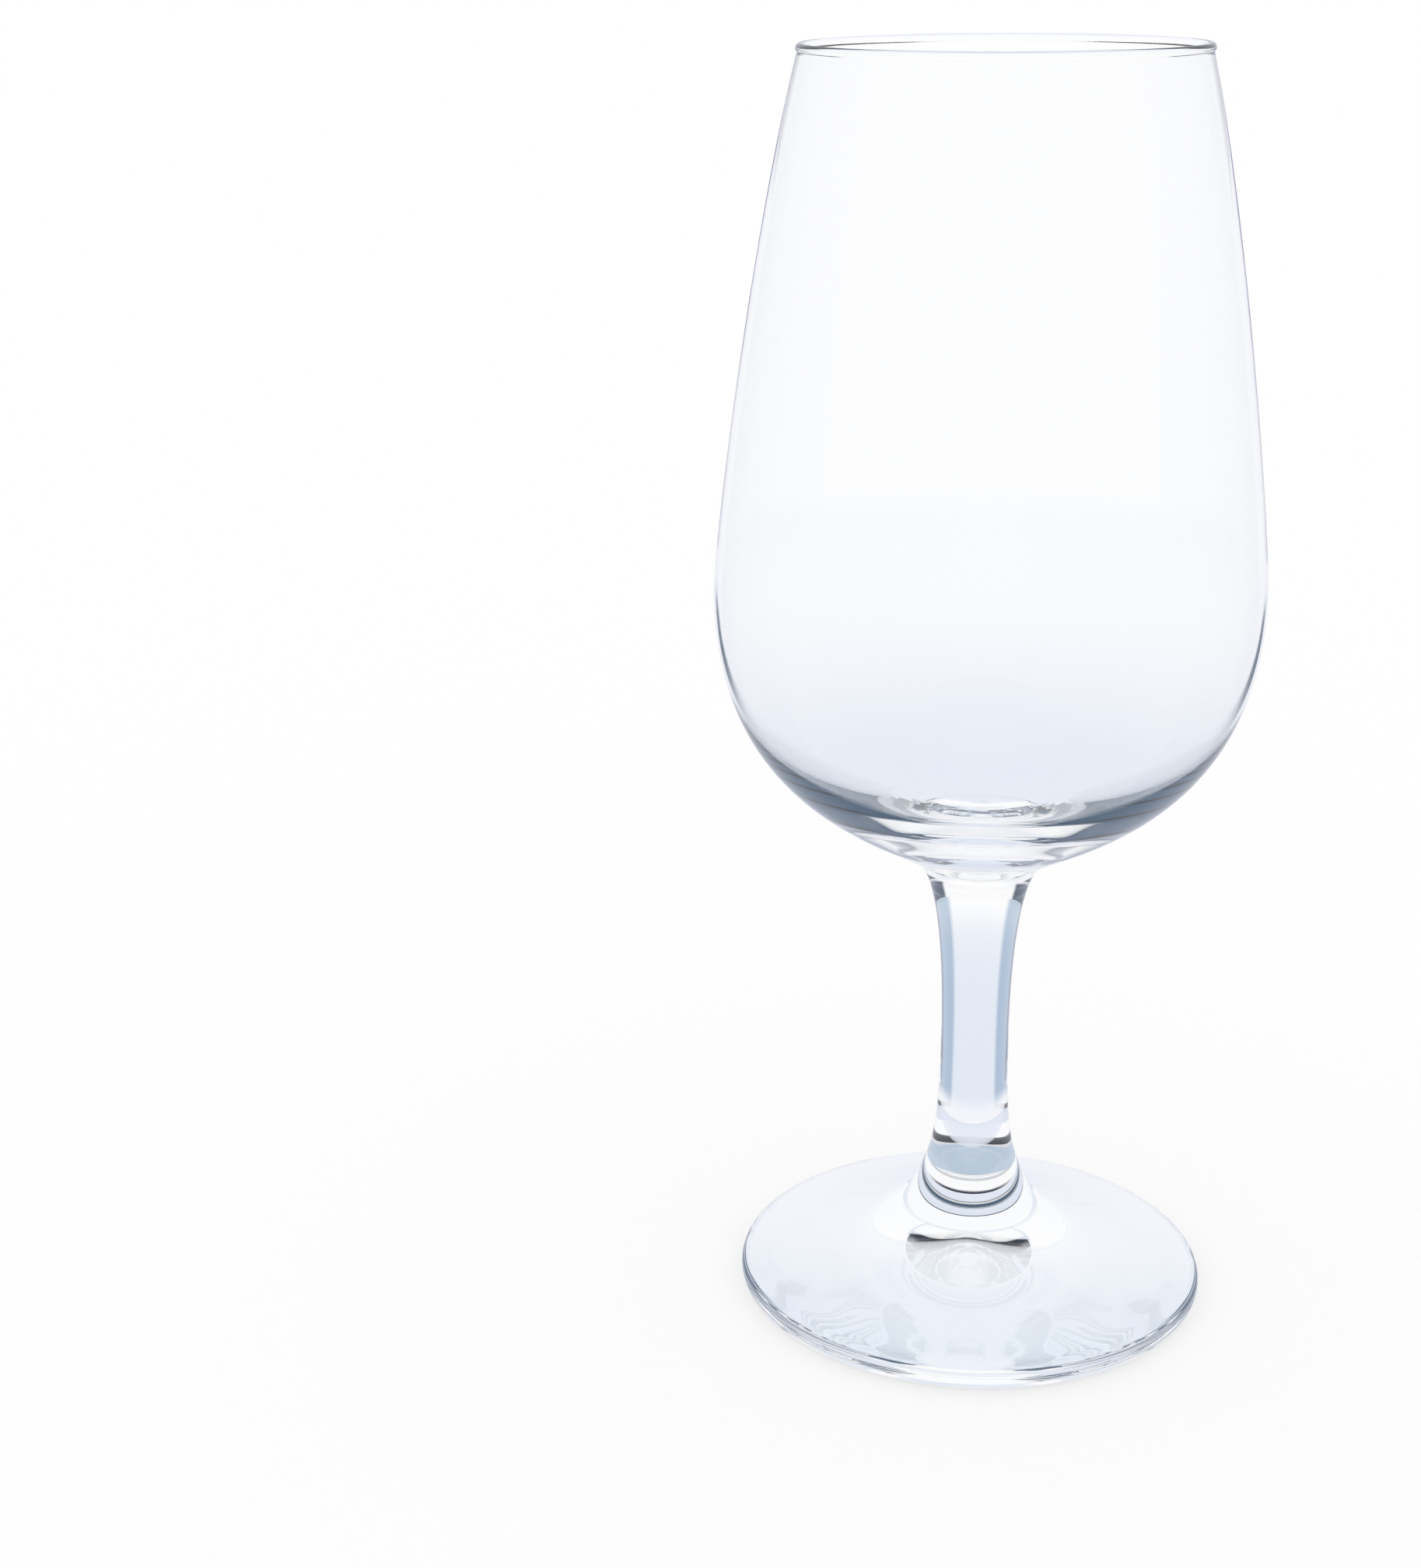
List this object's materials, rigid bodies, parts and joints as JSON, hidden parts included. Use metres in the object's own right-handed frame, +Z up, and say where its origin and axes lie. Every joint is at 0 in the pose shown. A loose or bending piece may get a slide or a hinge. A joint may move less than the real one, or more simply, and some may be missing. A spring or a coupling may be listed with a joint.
{
  "type": "port glass",
  "caption": "Clear stemmed glass with a tulip bowl drawn in to a beaded rim, a slim flared stem and a shallow conical foot, for tasting port.",
  "frame": {"origin": "centre of the foot's contact ring, on the surface that the glass stands on", "axes": "+Z up along the axis of foot, stem and bowl; the glass is a body of revolution, so +X and +Y are any two square directions"},
  "size_m": [0.0658, 0.0658, 0.155],
  "materials": {
    "clear_glass": "clear fire-polished glass, smooth all over"
  },
  "bodies": {
    "root": {"bowl": "clear_glass", "stem": "clear_glass", "foot": "clear_glass"}
  },
  "joints": []
}
